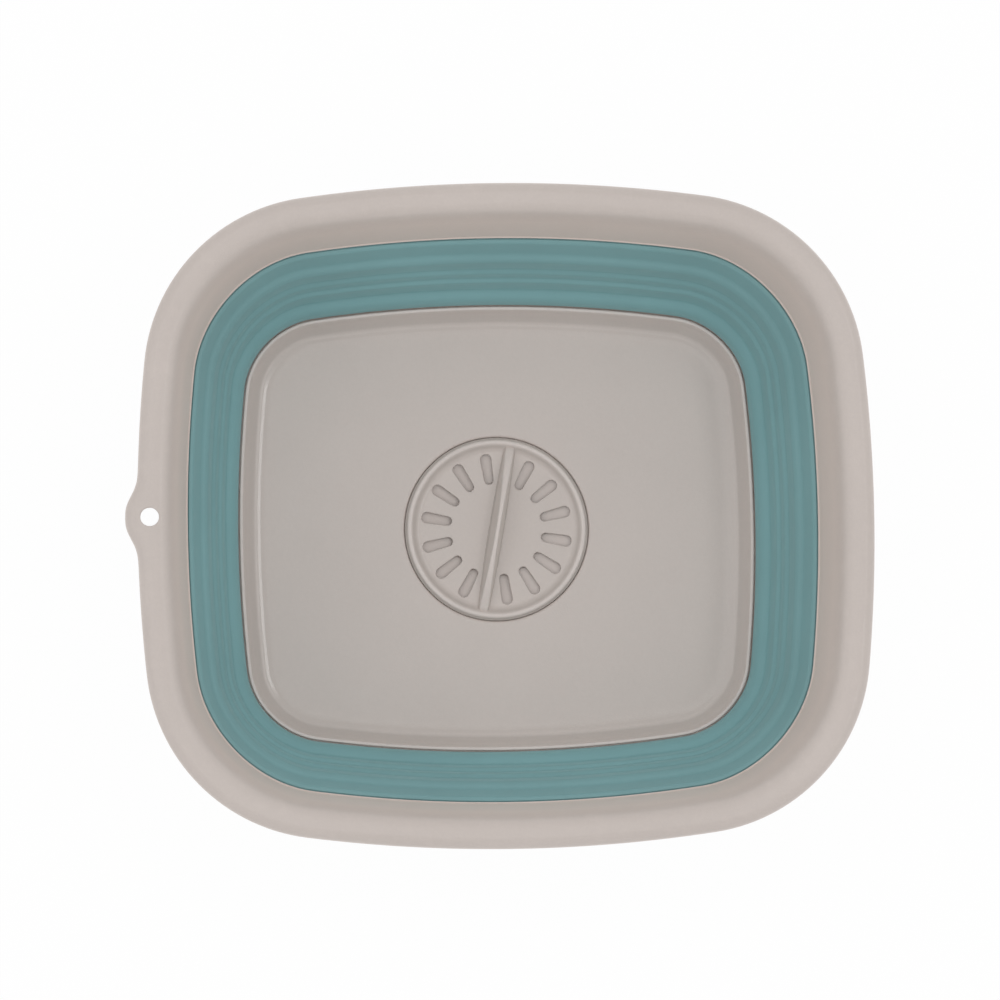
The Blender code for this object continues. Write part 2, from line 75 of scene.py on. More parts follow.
RIM_PROFILE_STEPS = 200
ROLL_STRIDE, SLOPE_STRIDE = 16, 8
PULL_INSETS = (0.012, 0.0243, 0.051)
CORNER_PULLS = (0.0, 0.001, 0.0004)
END_PULLS = (0.0, 0.00044, -0.00037)
BEND_STEPS = 5
HANDLE_SHARE = 0.55
USUAL_NOISE = (0.3, 0.7)
SCUFF_NOISE = (0.5, 0.72)
SCUFF_PALENESS = 0.03
SCUFF_DULLNESS = 0.08
GRAIN_DEPTH = 0.0002
FLOW_DEPTH = 0.002


def outline(left_shares):
    """Columns round the basin, anticlockwise from the right end. The plan is four bowed sides and four
    corner arcs that touch, and each column has its arc's centre and radius and its own angle: a point
    set in by u stands at centre + (radius - u) * (cos angle, sin angle)."""
    long_y = RIM_HALF_WIDTH - LONG_SIDE_BOW
    short_x = RIM_HALF_LENGTH - SHORT_SIDE_BOW
    long_reach = LONG_SIDE_BOW - CORNER_RADIUS
    short_reach = SHORT_SIDE_BOW - CORNER_RADIUS
    across = math.hypot(short_x, long_y)
    along = (long_reach**2 - short_reach**2 + across**2) / (2 * across)
    aside = math.sqrt(long_reach**2 - along**2)
    corner_x = (along * short_x - aside * long_y) / across
    corner_y = long_y - (along * long_y + aside * short_x) / across
    long_half = math.atan2(corner_x, corner_y - long_y)
    short_half = math.atan2(corner_y, corner_x - short_x)
    corner_half = (math.pi / 2 - long_half - short_half) / 2
    corner_middle = short_half + corner_half
    side = np.linspace(-1, 1, SIDE_STEPS + 1)
    corner = np.linspace(-1, 1, CORNER_STEPS + 1)
    arcs = (
        (short_x, 0, SHORT_SIDE_BOW, 0, short_half, side),
        (corner_x, corner_y, CORNER_RADIUS, corner_middle, corner_half, corner),
        (0, long_y, LONG_SIDE_BOW, math.pi / 2, long_half, side),
        (-corner_x, corner_y, CORNER_RADIUS, math.pi - corner_middle, corner_half, corner),
        (-short_x, 0, SHORT_SIDE_BOW, math.pi, short_half, left_shares),
        (-corner_x, -corner_y, CORNER_RADIUS, math.pi + corner_middle, corner_half, corner),
        (0, -long_y, LONG_SIDE_BOW, -math.pi / 2, long_half, side),
        (corner_x, -corner_y, CORNER_RADIUS, -corner_middle, corner_half, corner),
    )
    columns = []
    for x, y, radius, middle, half, shares in arcs:
        arc = np.tile([x, y, radius], (len(shares) - 1, 1))
        columns.append(np.column_stack([arc, middle + half * shares[:-1]]))
    return np.concatenate(columns)


def tab_swell(y, inset):
    """How far the tab pushes the left end outwards: e to the minus power of the way along the end over
    the spread, which fades by a smooth step from the edge to the tab's root."""
    depth = np.clip(inset / TAB_ROOT, 0, 1)
    fade = 1 - depth * depth * (3 - 2 * depth)
    return TAB_REACH * fade * np.exp(-(abs(y / TAB_SPREAD) ** TAB_POWER))


def carried(section, columns, tab=0.0):
    """A section carried round the outline: each (inset, height) of it becomes a ring of points. Inside
    the rim the plan is rounder than the outline: the inset grows at the corners by a share of the squared
    sine of twice the column's angle, and differs between ends and sides by a share of its cosine."""
    inset = section[:, :1]
    corner_pull = np.interp(inset, PULL_INSETS, CORNER_PULLS) * np.sin(2 * columns[:, 3]) ** 2
    end_pull = np.interp(inset, PULL_INSETS, END_PULLS) * np.cos(2 * columns[:, 3])
    inset = inset + corner_pull + end_pull
    x = columns[:, 0] + (columns[:, 2] - inset) * np.cos(columns[:, 3])
    y = columns[:, 1] + (columns[:, 2] - inset) * np.sin(columns[:, 3])
    x = x - tab * tab_swell(y, inset) * (x < 0)
    return np.stack([x, y, np.broadcast_to(section[:, 1:], x.shape)], axis=-1)


def bezier(start, first_handle, second_handle, end, share):
    """Points of a cubic Bezier curve at shares t of the way: the sum of its four knots weighted by
    (1 - t)^3, 3 t (1 - t)^2, 3 t^2 (1 - t) and t^3."""
    return (
        (1 - share) ** 3 * start
        + 3 * share * (1 - share) ** 2 * first_handle
        + 3 * share**2 * (1 - share) * second_handle
        + share**3 * end
    )


def rounded_line(corners, cuts, steps):
    """A line through corners given in millimetres, as metres. Each inner corner is cut back by its
    length on both sides, and a Bezier curve bridges the cut, with handles a share of the cut long."""
    corners = MM * np.array(corners)
    cuts = MM * np.array(cuts)[:, None, None]
    legs = np.diff(corners, axis=0)
    legs /= np.linalg.norm(legs, axis=1)[:, None]
    before = legs[:-1, None, :] * cuts
    after = legs[1:, None, :] * cuts
    knee = corners[1:-1, None, :]
    past_handle = 1 - HANDLE_SHARE
    curves = bezier(
        knee - before,
        knee - past_handle * before,
        knee + past_handle * after,
        knee + after,
        np.linspace(0, 1, steps)[None, :, None],
    )
    return np.concatenate([corners[:1], curves.reshape(-1, 2), corners[-1:]])


def numbered(points, first=0):
    """The numbers of a grid's points, row after row, in the grid's own shape."""
    return first + np.arange(points.shape[0] * points.shape[1]).reshape(points.shape[:2])


def strip(ids):
    """Quads between neighbouring rings of point numbers, where each ring closes on itself."""
    after = np.roll(ids, -1, axis=1)
    return np.stack([ids[:-1], ids[1:], after[1:], after[:-1]], axis=-1)


def closed_strip(ids):
    """Quads round a closed section: between its rings, and from the last back to the first."""
    return strip(np.concatenate([ids, ids[:1]]))


def make_piece(name, points, faces, crease_deg, material):
    """A mesh object of points and of arrays of faces. All the faces are turned over if the volume
    that they enclose, a sixth of the sum of their corners' triple products, is negative."""
    points = points.reshape(-1, 3)
    faces = [corners.reshape(-1, corners.shape[-1]) for corners in faces]
    volume = 0.0
    for corners in faces:
        for k in range(1, corners.shape[1] - 1):
            second, third = points[corners[:, k]], points[corners[:, k + 1]]
            volume += np.einsum("ij,ij", points[corners[:, 0]], np.cross(second, third))
    if volume < 0:
        faces = [corners[:, ::-1] for corners in faces]
    mesh = bpy.data.meshes.new(name)
    mesh.from_pydata(points + np.array([BASIN_X, 0, 0]), [], sum((part.tolist() for part in faces), []))
    mesh.validate()
    mesh.shade_smooth()
    mesh.set_sharp_from_angle(angle=math.radians(crease_deg))
    mesh.materials.append(material)
    piece = bpy.data.objects.new(name, mesh)
    bpy.context.scene.collection.objects.link(piece)
    return piece


def node_material(name):
    """A new node material, with its node tree and its shader."""
    material = bpy.data.materials.new(name)
    material.use_nodes = True
    return material, material.node_tree, material.node_tree.nodes["Principled BSDF"]


def set_inputs(node, **values):
    """Sets constants on a node's sockets. A socket's name is given with _ for each space in it."""
    for socket, value in values.items():
        node.inputs[socket.replace("_", " ")].default_value = value


def object_place(tree):
    """The object coordinates of the place that is shaded."""
    return tree.nodes.new("ShaderNodeTexCoord").outputs["Object"]


def object_height(tree):
    """The height of the place that is shaded, in object coordinates."""
    parts = tree.nodes.new("ShaderNodeSeparateXYZ")
    tree.links.new(object_place(tree), parts.inputs["Vector"])
    return parts.outputs["Z"]


def noise(tree, scale, detail):
    """Noise on object coordinates, with its scale in waves a metre and its detail in octaves."""
    made = tree.nodes.new("ShaderNodeTexNoise")
    set_inputs(made, Scale=scale, Detail=detail)
    tree.links.new(object_place(tree), made.inputs["Vector"])
    return made.outputs["Fac"]


def spread(tree, value, low, high, to_low, to_high):
    """A value carried from one range to another and kept inside it."""
    made = tree.nodes.new("ShaderNodeMapRange")
    set_inputs(made, From_Min=low, From_Max=high, To_Min=to_low, To_Max=to_high)
    tree.links.new(value, made.inputs["Value"])
    return made.outputs["Result"]


def noise_between(tree, scale, detail, low, high):
    """Noise whose usual range is carried to one from low to high."""
    return spread(tree, noise(tree, scale, detail), *USUAL_NOISE, low, high)


def combined(tree, operation, first, second):
    """A maths node on two values, the second of which may be a plain number."""
    made = tree.nodes.new("ShaderNodeMath")
    made.operation = operation
    tree.links.new(first, made.inputs[0])
    if isinstance(second, float):
        made.inputs[1].default_value = second
    else:
        tree.links.new(second, made.inputs[1])
    return made.outputs["Value"]


def scaled(tree, colour, factor):
    """A colour, from a node or as three plain numbers, times a value."""
    made = tree.nodes.new("ShaderNodeVectorMath")
    made.operation = "SCALE"
    if isinstance(colour, tuple):
        made.inputs[0].default_value = colour
    else:
        tree.links.new(colour, made.inputs[0])
    tree.links.new(factor, made.inputs["Scale"])
    return made.outputs["Vector"]


def blended(tree, colour, far_colour, share):
    """A colour that turns into another as the share goes from 0 to 1."""
    made = tree.nodes.new("ShaderNodeMix")
    made.data_type = "VECTOR"
    sockets = {socket.identifier: socket for socket in made.inputs}
    sockets["A_Vector"].default_value = colour
    sockets["B_Vector"].default_value = far_colour
    tree.links.new(share, sockets["Factor_Float"])
    return next(socket for socket in made.outputs if socket.identifier == "Result_Vector")


def bump(tree, pattern, strength, depth, under=None):
    """A bumped normal from a pattern, with its depth in metres, laid over another one if given."""
    made = tree.nodes.new("ShaderNodeBump")
    set_inputs(made, Strength=strength, Distance=depth)
    tree.links.new(pattern, made.inputs["Height"])
    if under is not None:
        tree.links.new(under, made.inputs["Normal"])
    return made.outputs["Normal"]


def satin_plastic(name, colour, far_colour, roughness, grain, gloss, near_height, far_height):
    """Moulded polypropylene: the colour turns into a second one from one height to another, a painted
    change of light and shade between the two heights. It drifts a little over the part and has a fine
    speckle. The surface has a fine grain, and small scuffs make it paler and duller towards the second
    height."""
    material, tree, shader = node_material(name)
    # Painted light and shade: this share blends the two colours by height. It also places the scuffs,
    # which are wear.
    painted_light_and_scuff_share = spread(tree, object_height(tree), near_height, far_height, 0.0, 1.0)
    marks = spread(tree, noise(tree, 140.0, 6.0), *SCUFF_NOISE, 0.0, 1.0)
    scuffs = combined(tree, "MULTIPLY", painted_light_and_scuff_share, marks)
    drift = noise_between(tree, 11.0, 3.0, 0.975, 1.015)
    speckle = noise_between(tree, 650.0, 2.0, -0.012, 0.012)
    paler = combined(tree, "MULTIPLY", scuffs, SCUFF_PALENESS)
    shade = combined(tree, "ADD", combined(tree, "ADD", drift, speckle), paler)
    tint = scaled(tree, blended(tree, colour, far_colour, painted_light_and_scuff_share), shade)
    tree.links.new(tint, shader.inputs["Base Color"])
    patches = noise_between(tree, 60.0, 4.0, roughness - 0.03, roughness + 0.04)
    duller = combined(tree, "MULTIPLY", scuffs, SCUFF_DULLNESS)
    tree.links.new(combined(tree, "ADD", patches, duller), shader.inputs["Roughness"])
    fine_grain = bump(tree, noise(tree, 1500.0, 2.0), grain, GRAIN_DEPTH)
    flow = bump(tree, noise(tree, 34.0, 2.0), 0.05, FLOW_DEPTH, fine_grain)
    tree.links.new(flow, shader.inputs["Normal"])
    set_inputs(shader, IOR=1.49, Specular_IOR_Level=0.5, Coat_Weight=gloss, Coat_Roughness=0.1)
    set_inputs(shader, Sheen_Weight=0.42, Sheen_Roughness=0.4, Sheen_Tint=(1.0, 0.88, 0.8, 1))
    return material


# The rim's upper face is a quarter of an ellipse, the roll, and then a Bezier curve, the flange with its
# slope. The underside lies one wall's thickness away from it, square to it.
crest = CREST_HEIGHT / MM
throat = THROAT_HEIGHT / MM
rim_knots = np.array(
    [
        [CREST_INSET, CREST_HEIGHT],
        [0.0192, CREST_HEIGHT - 0.0001],
        [0.0175, CREST_HEIGHT - 0.0060],
        [0.0236, THROAT_HEIGHT + 0.0019],
    ]
)
roll_angle = np.linspace(0, math.pi / 2, RIM_PROFILE_STEPS + 1)[:-1]
roll_inset = CREST_INSET * (1 - np.cos(roll_angle))
roll_height = CREST_HEIGHT - ROLL_DROP * (1 - np.sin(roll_angle))
slope = bezier(*rim_knots, np.linspace(0, 1, RIM_PROFILE_STEPS + 1)[:, None])
rim_top = np.concatenate([np.column_stack([roll_inset, roll_height]), slope])
along_rim = np.gradient(rim_top, axis=0)
along_rim /= np.linalg.norm(along_rim, axis=1)[:, None]
rim_under = rim_top + RIM_WALL * np.column_stack([along_rim[:, 1], -along_rim[:, 0]])
roll_rows = np.arange(0, RIM_PROFILE_STEPS, ROLL_STRIDE)
slope_rows = np.arange(RIM_PROFILE_STEPS, 2 * RIM_PROFILE_STEPS + 1, SLOPE_STRIDE)
rim_rows = np.concatenate([roll_rows, slope_rows])
rim_lip = rounded_line(
    [(2.5, crest - 7.5), (2.5, crest - 13.0), (0.0, crest - 13.0), (0.0, crest - 7.5)],
    (0.9, 0.9),
    BEND_STEPS,
)
rim_ledge = rounded_line(
    [
        (23.6, throat + 1.9),
        (23.75, throat + 1.25),
        (24.4, throat + 1.15),
        (24.4, throat - 0.1),
        (21.7, throat - 0.1),
        (21.3, throat + 1.2),
    ],
    (0.2, 0.24, 0.3, 0.4),
    BEND_STEPS,
)
rim_section = np.concatenate([rim_lip, rim_top[rim_rows], rim_ledge[1:], rim_under[rim_rows][::-1]])
even_shares = np.linspace(-1, 1, TAB_SIDE_STEPS + 1)
tab_columns = outline(np.sinh(TAB_CROWDING * even_shares) / math.sinh(TAB_CROWDING))
rim_points = carried(rim_section, tab_columns, tab=1.0)
rim_ids = numbered(rim_points)
rim_cells = closed_strip(rim_ids)

# Hanging hole: it is moulded through the tab, with a rounded edge above and below. A block of cells
# is left out of the tab's top and underside, and rings of points lead from the block's edge to the
# hole's edge, down its wall and out again below.
HOLE_RADIUS = 0.0047
HOLE_EDGE = 0.0005
HOLE_CENTRE = np.array([0.0063 - RIM_HALF_LENGTH, 0.0])
HOLE_BLOCK_INSETS = (0.0024, 0.0129)
HOLE_BLOCK_COLUMNS = 8
INSET_GUESS = 0.008
INSET_ROUNDS = 30
MOUTH_SHARES = (0.25, 0.5, 0.75)


def block_edge(first_row, last_row, first_column, last_column):
    """Rows and columns of the points round a block of cells, in order round its edge."""
    down = np.arange(first_row, last_row)
    right = np.arange(first_column, last_column)
    rows = [np.full(len(right), first_row), down, np.full(len(right), last_row), down[::-1] + 1]
    columns = [right, np.full(len(down), last_column), right[::-1] + 1, np.full(len(down), first_column)]
    return np.concatenate(rows), np.concatenate(columns)


def tab_inset(x, y):
    """How far a point of the plan is set in from the rim's edge near the tab: the swell is taken
    off at the last guess of the inset, and the mean of the old and the new guess is the next one."""
    inset = np.full(x.shape, INSET_GUESS)
    for _ in range(INSET_ROUNDS):
        flat_x = x + tab_swell(y, inset)
        inset = (inset + SHORT_SIDE_BOW - np.hypot(flat_x - SHORT_SIDE_BOW + RIM_HALF_LENGTH, y)) / 2
    return inset


def tab_ring(plan, surface, offset):
    """A ring of points over the plan, at the surface's height there plus an offset."""
    inset = tab_inset(plan[:, 0], plan[:, 1])
    return np.column_stack([plan, np.interp(inset, surface[:, 0], surface[:, 1]) + offset])


def hole_mouth(plan, surface, side):
    """Rings from the block's edge to the hole's wall, on straight lines in plan and then round the
    hole's edge, a quarter circle. Side is 1 for the tab's top and -1 for its underside."""
    bearing = np.arctan2(plan[:, 1], plan[:, 0] - HOLE_CENTRE[0])
    direction = np.column_stack([np.cos(bearing), np.sin(bearing)])
    mouth = HOLE_CENTRE + (HOLE_RADIUS + HOLE_EDGE) * direction
    rings = [tab_ring(plan + share * (mouth - plan), surface, 0) for share in MOUTH_SHARES]
    for angle in np.linspace(0, math.pi / 2, BEND_STEPS):
        edge = HOLE_CENTRE + (HOLE_RADIUS + HOLE_EDGE * (1 - math.sin(angle))) * direction
        rings.append(tab_ring(edge, surface, -side * HOLE_EDGE * (1 - math.cos(angle))))
    return np.array(rings)


rim_insets = rim_top[rim_rows][:, 0]
first_hole_row, last_hole_row = (int(np.argmin(abs(rim_insets - inset))) for inset in HOLE_BLOCK_INSETS)
tab_column = 2 * SIDE_STEPS + 2 * CORNER_STEPS + TAB_SIDE_STEPS // 2
first_hole_column, last_hole_column = tab_column - HOLE_BLOCK_COLUMNS, tab_column + HOLE_BLOCK_COLUMNS
edge_rows, edge_columns = block_edge(first_hole_row, last_hole_row, first_hole_column, last_hole_column)
top_row = len(rim_lip)
under_row = len(rim_section) - 1
top_edge = rim_ids[top_row + edge_rows, edge_columns]
under_edge = rim_ids[under_row - edge_rows, edge_columns]
rim_keeps = np.ones(rim_cells.shape[:2], bool)
hole_columns = slice(first_hole_column, last_hole_column)
rim_keeps[top_row + first_hole_row : top_row + last_hole_row, hole_columns] = False
rim_keeps[under_row - last_hole_row : under_row - first_hole_row, hole_columns] = False
flat_points = rim_points.reshape(-1, 3)
hole_rings = np.concatenate(
    [
        hole_mouth(flat_points[top_edge, :2], rim_top, 1),
        hole_mouth(flat_points[under_edge, :2], rim_under, -1)[::-1],
    ]
)
hole_ids = numbered(hole_rings, rim_ids.size)
hole_faces = strip(np.concatenate([top_edge[None], hole_ids, under_edge[None]]))
# Painted light: the steep inner slope and the ledge are painted paler and warmer than the crest, for light
# that the shaded slope lacks. The blend runs from 3 mm to 14 mm below the crest.
rim_plastic = satin_plastic(
    "rim_polypropylene",
    colour=(0.62, 0.53, 0.485),
    far_colour=(0.53, 0.47, 0.436),
    roughness=0.4,
    grain=0.35,
    gloss=0.15,
    near_height=CREST_HEIGHT - 0.014,
    far_height=CREST_HEIGHT - 0.003,
)
rim = make_piece(
    "rim_moulding",
    np.concatenate([flat_points, hole_rings.reshape(-1, 3)]),
    [rim_cells[rim_keeps], hole_faces],
    crease_deg=45,
    material=rim_plastic,
)
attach(rim, "rim")
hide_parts("rim", "hanging_tab")

# Soft wall: one moulding of matt teal elastomer, moulded on to the rim and the base. It steps inwards
# in ledges joined by steep risers, and the two tall risers turn inside out when the basin is folded.
# It is made in two lengths that meet half way down.
WALL_STEPS = 7
wall_columns = outline(np.linspace(-1, 1, SIDE_STEPS + 1))
upper_front = [
    (24.9, throat - 1.0),
    (24.9, throat + 0.1),
    (27.0, throat - 0.4),
    (30.9, throat - 11.4),
    (34.9, throat - 13.2),
    (36.5, throat - 26.8),
    (39.0, throat - 28.8),
    (39.5, throat - 33.0),
]
upper_back = [
    (37.8, throat - 33.0),
    (36.9, throat - 30.4),
    (34.7, throat - 28.6),
    (33.0, throat - 14.6),
    (29.3, throat - 13.0),
    (25.3, throat - 2.2),
    (22.4, throat - 1.4),
    (22.4, throat - 1.0),
]
lower_front = [
    (39.5, throat - 33.0),
    (40.0, throat - 35.9),
    (42.3, throat - 37.4),
    (43.7, throat - 51.8),
    (49.3, throat - 54.6),
    (50.7, throat - 62.0),
    (50.5, throat - 63.3),
]
lower_back = [
    (48.5, throat - 63.6),
    (48.4, throat - 62.4),
    (47.3, throat - 56.4),
    (41.9, throat - 53.6),
    (40.4, throat - 39.2),
    (38.3, throat - 37.6),
    (37.8, throat - 33.0),
]


def wall_length(front, front_cuts, back, back_cuts):
    """Rings of points of a length of wall, and their quads. Its closed section runs down the inner
    face and up the outer one, and is carried round the outline."""
    section = [rounded_line(front, front_cuts, WALL_STEPS), rounded_line(back, back_cuts, WALL_STEPS)]
    points = carried(np.concatenate(section), wall_columns)
    return points, [closed_strip(numbered(points))]


def elastomer(name, colour, painted_light_top, painted_light_bottom):
    """Matt elastomer: a drift of colour, painted paler from one height down to another as painted light
    for the shade deep in the basin, patches of duller surface, a fine orange-peel grain and a soft sheen
    of its own hue."""
    material, tree, shader = node_material(name)
    drift = noise_between(tree, 14.0, 5.0, 0.96, 1.04)
    # Painted light: up to 14 per cent paler from the upper height down to the lower one.
    paler = spread(tree, object_height(tree), painted_light_top, painted_light_bottom, 1.0, 1.14)
    tint = scaled(tree, scaled(tree, colour, drift), paler)
    tree.links.new(tint, shader.inputs["Base Color"])
    tree.links.new(noise_between(tree, 90.0, 4.0, 0.5, 0.62), shader.inputs["Roughness"])
    peel = bump(tree, noise(tree, 1100.0, 3.0), 0.3, GRAIN_DEPTH)
    tree.links.new(peel, shader.inputs["Normal"])
    set_inputs(shader, Specular_IOR_Level=0.35)
    set_inputs(shader, Sheen_Weight=0.25, Sheen_Roughness=0.5, Sheen_Tint=(0.56, 0.95, 1.0, 1))
    return material


# Painted light: the teal wall is painted paler from 70 mm down to 30 mm and below, where the basin is deep
# in shade.
wall_rubber = elastomer("teal_elastomer", colour=(0.184, 0.345, 0.36), painted_light_top=0.07, painted_light_bottom=0.03)
upper_points, upper_faces = wall_length(
    upper_front, (0.3, 1.2, 1.6, 2.7, 1.1, 1.4), upper_back, (0.8, 0.8, 1.6, 2.0, 0.8, 0.3)
)
upper_wall = make_piece(
    "soft_wall_upper", upper_points, upper_faces, crease_deg=50, material=wall_rubber
)
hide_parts("upper_wall_band", "upper_fold_band", "middle_wall_band")
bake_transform(upper_wall)
lower_points, lower_faces = wall_length(
    lower_front, (1.1, 1.3, 1.4, 3.6, 0.5), lower_back, (0.4, 1.6, 1.2, 0.8, 0.8)
)
lower_wall = make_piece(
    "soft_wall_lower", lower_points, lower_faces, crease_deg=50, material=wall_rubber
)
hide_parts("middle_wall_band", "lower_fold_band", "lower_wall_band")
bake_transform(lower_wall)

# Base pan: one hard moulding of the same warm grey polypropylene. A narrow lip bears the soft wall, a
# hollow slope leads down to the raised floor, a foot ring stands on the table, and a round stepped
# recess in the floor takes the plug above an open outlet.
FLOOR = 11.5
RECESS_RADIUS = 49.0
DRAIN_STEPS = 4
FLOOR_RINGS = 14
UNDERSIDE_RINGS = 6
pan_top = rounded_line(
    [
        (47.9, 20.6),
        (47.9, 21.2),
        (50.5, 21.2),
        (50.75, 18.9),
        (51.3, 18.9),
        (51.45, 22.0),
        (53.1, 21.9),
        (54.3, 18.6),
        (56.6, 15.2),
        (59.1, 12.75),
        (60.7, 12.5),
        (62.4, 11.96),
        (64.4, 11.62),
        (66.4, FLOOR),
        (67.9, FLOOR),
    ],
    (0.2, 0.15, 0.15, 0.1, 0.45, 0.4, 0.9, 1.3, 1.1, 0.2, 0.2, 0.9, 0.9),
    BEND_STEPS,
)
pan_outside = rounded_line(
    [
        (64.9, 9.3),
        (63.7, 9.3),
        (63.7, 0.0),
        (61.3, 0.0),
        (61.3, 9.2),
        (58.1, 10.9),
        (49.3, 18.5),
        (47.9, 20.6),
    ],
    (0.7, 0.5, 0.5, 0.7, 0.7, 1.0),
    BEND_STEPS,
)[:-1]
drain_top = rounded_line(
    [
        (RECESS_RADIUS + 2.2, FLOOR),
        (RECESS_RADIUS + 0.9, FLOOR),
        (RECESS_RADIUS + 0.1, FLOOR - 0.6),
        (RECESS_RADIUS, 8.7),
        (44.8, 8.7),
        (44.8, 7.6),
        (14.0, 7.6),
        (14.0, 1.3),
        (16.2, 1.3),
        (16.2, 5.4),
        (47.0, 5.4),
        (47.0, 6.5),
        (51.2, 6.5),
        (51.2, 9.3),
        (52.4, 9.3),
    ],
    (0.4, 0.4, 0.3, 0.25, 0.3, 0.5, 0.4, 0.5, 0.5, 0.4, 0.4, 0.5, 0.6),
    DRAIN_STEPS,
)


def turned(profile, angles):
    """A profile turned about the upright axis: each (radius, height) of it becomes a ring of points at
    (radius cos angle, radius sin angle, height)."""
    x = profile[:, :1] * np.cos(angles)
    y = profile[:, :1] * np.sin(angles)
    return np.stack([x, y, np.broadcast_to(profile[:, 1:], x.shape)], axis=-1)


def between(first, last, steps):
    """Rings spaced evenly on straight lines between two rings, without the two themselves."""
    shares = np.linspace(0, 1, steps + 1)[1:-1, None, None]
    return first + shares * (last - first)


# The pan's closed section runs over the lip and down the slope to the floor, in to the recess and its
# outlet, back below the floor to the foot ring, and up the outside.
pan_upper_rings = carried(pan_top, wall_columns)
pan_lower_rings = carried(pan_outside, wall_columns)
floor_edge = pan_upper_rings[-1]
drain_rings = turned(drain_top, np.arctan2(floor_edge[:, 1], floor_edge[:, 0]))
pan_points = np.concatenate(
    [
        pan_upper_rings,
        between(floor_edge, drain_rings[0], FLOOR_RINGS),
        drain_rings,
        between(drain_rings[-1], pan_lower_rings[0], UNDERSIDE_RINGS),
        pan_lower_rings,
    ]
)
# Painted light: the pan is painted paler from 12 mm at the floor's edge up to the lip at 22 mm. This
# lightens the hollow slope and puts a painted highlight on the lip.
pan_plastic = satin_plastic(
    "pan_polypropylene",
    colour=(0.551, 0.485, 0.45),
    far_colour=(0.63, 0.558, 0.524),
    roughness=0.34,
    grain=0.3,
    gloss=0.5,
    near_height=0.0122,
    far_height=0.0216,
)
pan_faces = [closed_strip(numbered(pan_points))]
pan = make_piece("pan_moulding", pan_points, pan_faces, crease_deg=40, material=pan_plastic)
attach(pan, "base")
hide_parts("base_pan")

# Strainer plug: one hard moulding of the same plastic. A dished disc with a raised bead round it lies
# flush in the recess, fourteen rounded slots let the water through, and a stem below holds the seal.
DISH = 10.3
DISH_LEVEL_RADIUS, DISH_EDGE_RADIUS = 40.5, 44.9
DISH_RISE = 2.4
DISC_BOTTOM = 9.0
STEM_BOTTOM = 2.8
BEAD_RADIUS, BEAD_HEIGHT = 46.3, 12.2
BEAD_HALF_WIDTH, BEAD_RISE = 1.5, 1.1
BEAD_TURN = 0.75 * math.pi
BEAD_STEPS = 12
SLOT_INNER, SLOT_OUTER = 24.2, 40.5
SLOT_INNER_WIDTH, SLOT_OUTER_WIDTH = 4.7, 5.8
SLOT_EDGE = 0.45
SLOT_EDGE_BELOW = 0.4
SLOT_SHARES = (0.33, 0.67)
SLOT_BLOCK_INNER, SLOT_BLOCK_OUTER = 22.0, 41.7
SLOT_ROWS = 15
SLOT_COLUMNS = 6
SLOT_FIRST_COLUMN = 1
SLOT_PITCH_COLUMNS = 8
SLOTS_A_SIDE = 7
HUB_RADII = (1.5, 5, 10, 14, 18)
EDGE_RADII = (42.4, 43.2, 44.1, DISH_EDGE_RADIUS)
UNDER_EDGE_RADII = (43.2,)
UNDER_HUB_RADII = (18, 13)
PLUG_COLUMNS = 120
PLUG_STEPS = 4
PLUG_START = math.radians(-84)
GRIP_TURN = math.radians(-10.1)

slot_spine = MM * np.array([SLOT_INNER + SLOT_INNER_WIDTH / 2, SLOT_OUTER - SLOT_OUTER_WIDTH / 2])
slot_half_widths = MM * np.array([SLOT_INNER_WIDTH, SLOT_OUTER_WIDTH]) / 2


def dish_height(radius):
    """The height of the disc's upper face at a radius, both in millimetres: level, and then rising to
    the bead with the square of the way from the level part to the edge."""
    way = (radius - DISH_LEVEL_RADIUS) / (DISH_EDGE_RADIUS - DISH_LEVEL_RADIUS)
    return DISH + DISH_RISE * np.clip(way, 0, 1) ** 2


def slot_ring(plan, bearing, margin):
    """A ring of points round a slot, at a margin outside its wall. The slot widens outwards and has
    round ends: each point lies on the way from the slot's middle line to its point of the plan, at
    half the slot's width there plus the margin."""
    radial = np.array([math.cos(bearing), math.sin(bearing)])
    sideways = np.array([-math.sin(bearing), math.cos(bearing)])
    along = plan @ radial
    middle = np.clip(along, *slot_spine)
    away = np.column_stack([along - middle, plan @ sideways])
    away /= np.linalg.norm(away, axis=1)[:, None]
    reach = (np.interp(middle, slot_spine, slot_half_widths) + margin)[:, None] * away
    return (middle + reach[:, 0])[:, None] * radial + reach[:, 1:] * sideways


def slot_wall(plan, bearing):
    """Rings from the edge of the slot's block over the disc and round the slot's edge to its wall, and
    from the foot of the wall out again below, where the edge is rounded less."""
    edge = MM * SLOT_EDGE
    mouth = slot_ring(plan, bearing, edge)
    flats = [plan + share * (mouth - plan) for share in SLOT_SHARES]
    drops = [0.0] * len(SLOT_SHARES)
    for angle in np.linspace(0, math.pi / 2, BEND_STEPS):
        flats.append(slot_ring(plan, bearing, edge * (1 - math.sin(angle))))
        drops.append(edge * (1 - math.cos(angle)))
    upper = []
    lower = []
    for flat, drop in zip(flats, drops):
        surface = MM * dish_height(np.linalg.norm(flat, axis=1) / MM)
        underside = np.full(len(flat), MM * DISC_BOTTOM)
        upper.append(np.column_stack([flat, surface - drop]))
        lower.append(np.column_stack([flat, underside + SLOT_EDGE_BELOW * drop]))
    return np.array(upper + lower[::-1])


